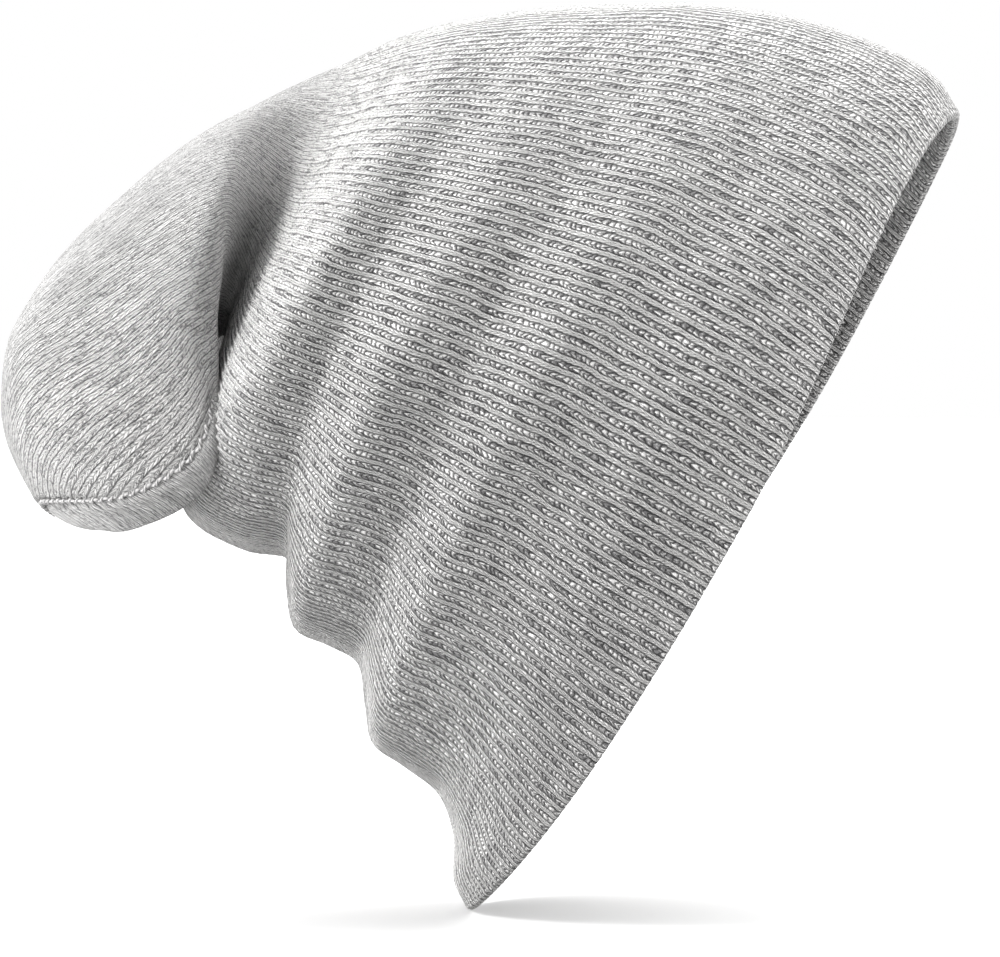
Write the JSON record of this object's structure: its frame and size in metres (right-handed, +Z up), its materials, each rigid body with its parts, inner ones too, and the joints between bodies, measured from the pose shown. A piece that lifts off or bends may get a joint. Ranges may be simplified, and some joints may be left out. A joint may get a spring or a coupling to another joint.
{
  "type": "slouch beanie",
  "caption": "Soft rib-knit slouch hat in heathered grey, with a plain turned hem, loose folds and a crown that falls back in a blunt pouch closed by gathered seams.",
  "frame": {"origin": "centre of the head opening, on the plane of the hem", "axes": "+Z up with the hat as it is worn, +X toward the brow side of the hem, -X toward the hanging crown, and +-Y across the two flanks"},
  "size_m": [0.2114, 0.177, 0.1986],
  "materials": {
    "rib_knit": "heathered light grey rib knit, matte and slightly fuzzy",
    "seam_yarn": "grey yarn, matte"
  },
  "bodies": {
    "root": {"knit_shell": "rib_knit", "crown_seam": "seam_yarn"}
  },
  "joints": []
}
